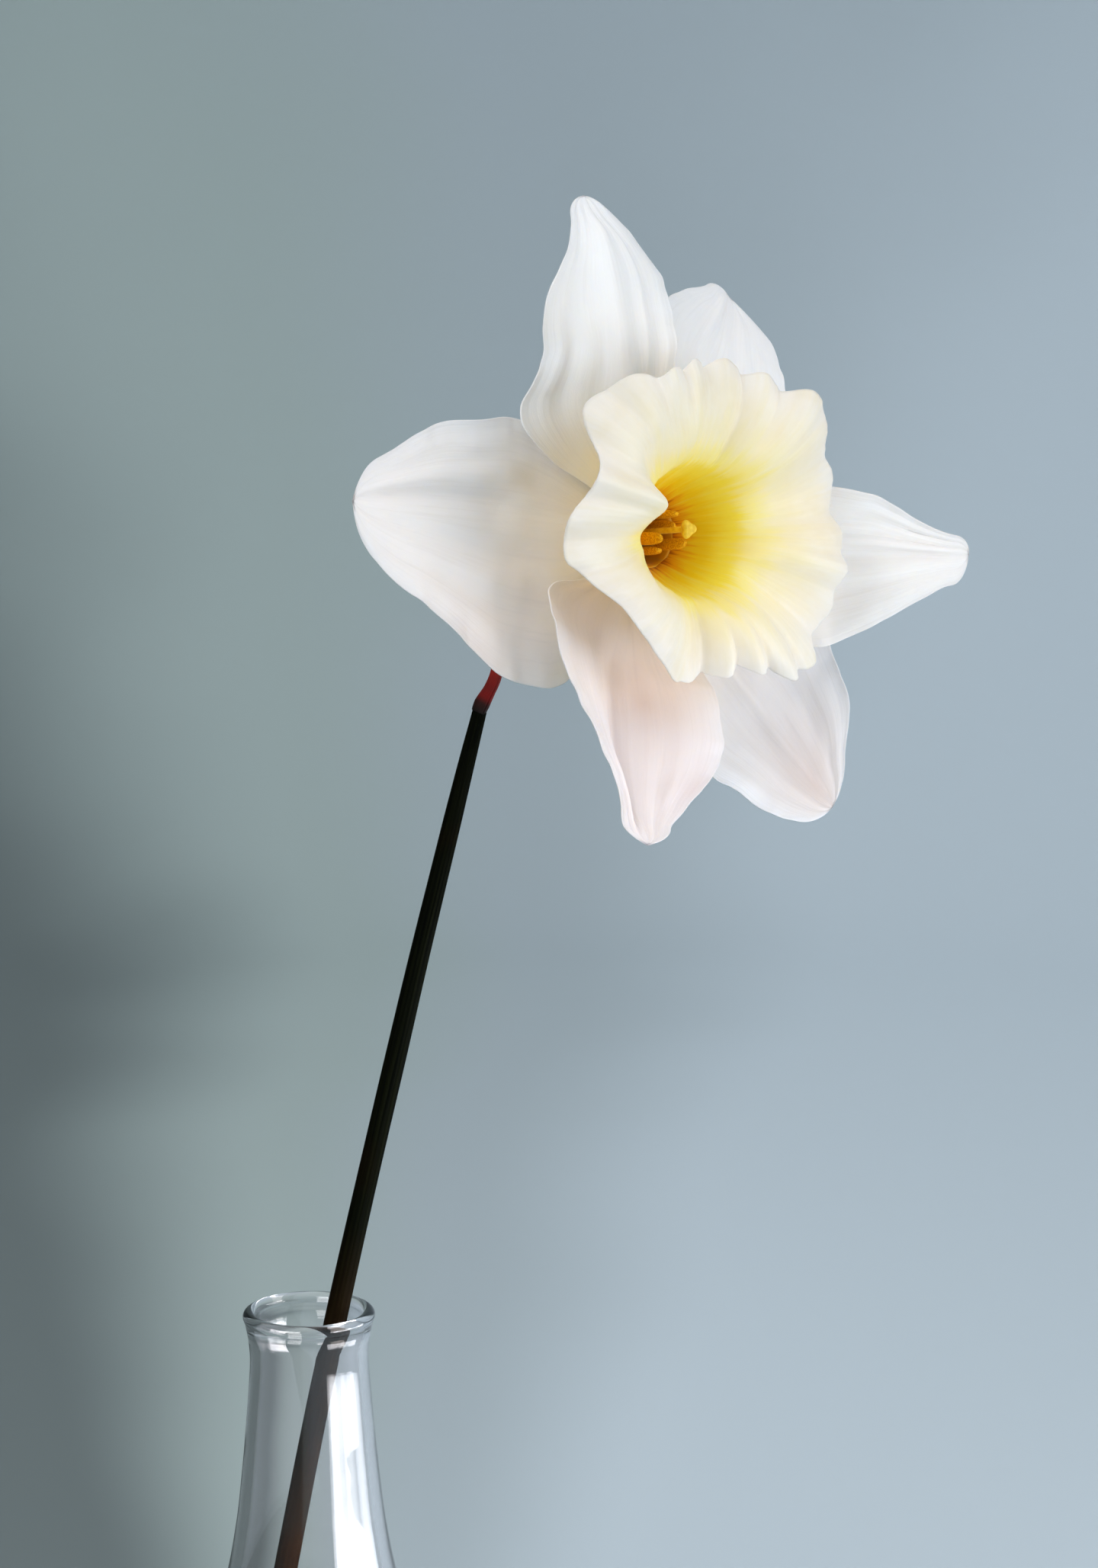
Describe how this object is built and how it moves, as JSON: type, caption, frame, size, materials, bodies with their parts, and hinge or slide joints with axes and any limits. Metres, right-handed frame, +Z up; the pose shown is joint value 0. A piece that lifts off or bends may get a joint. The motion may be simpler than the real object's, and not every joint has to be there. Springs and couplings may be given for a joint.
{
  "type": "narcissus flower in a bud vase",
  "caption": "One cut narcissus with white tepals and a frilled cream-yellow trumpet, leaning in a small clear glass bud vase of water.",
  "frame": {"origin": "centre of the vase's flat foot, on the surface that it stands on", "axes": "+Z up, along the vase's axis; the flower faces -Y and the stem leans towards +X and -Y"},
  "size_m": [0.097, 0.1045, 0.285],
  "materials": {
    "glass": "clear, polished",
    "water": "clear liquid",
    "stem": "waxy, dark green to black",
    "stalk": "waxy",
    "spathe": "dry and papery, red-brown",
    "ovary": "waxy green",
    "tube": "waxy, pale green to cream",
    "tepal": "soft, translucent white petal",
    "corona": "soft, translucent cream to yellow petal",
    "filament": "soft",
    "anther": "powdery",
    "stigma": "soft, slightly moist"
  },
  "bodies": {
    "root": {"vase": "glass", "water": "water", "stem": "stem", "pedicel": "stalk", "spathe": "spathe", "ovary": "ovary", "perianth_tube": "tube", "corona": "corona", "style": "stigma", "stigma": "stigma", "tepal_inner_top": "tepal", "tepal_outer_upper_right": "tepal", "tepal_inner_right": "tepal", "tepal_outer_lower_right": "tepal", "tepal_inner_bottom": "tepal", "tepal_outer_left": "tepal", "filament_1": "filament", "filament_2": "filament", "filament_3": "filament", "filament_4": "filament", "filament_5": "filament", "filament_6": "filament", "anther_1": "anther", "anther_2": "anther", "anther_3": "anther", "anther_4": "anther", "anther_5": "anther", "anther_6": "anther"}
  },
  "joints": []
}
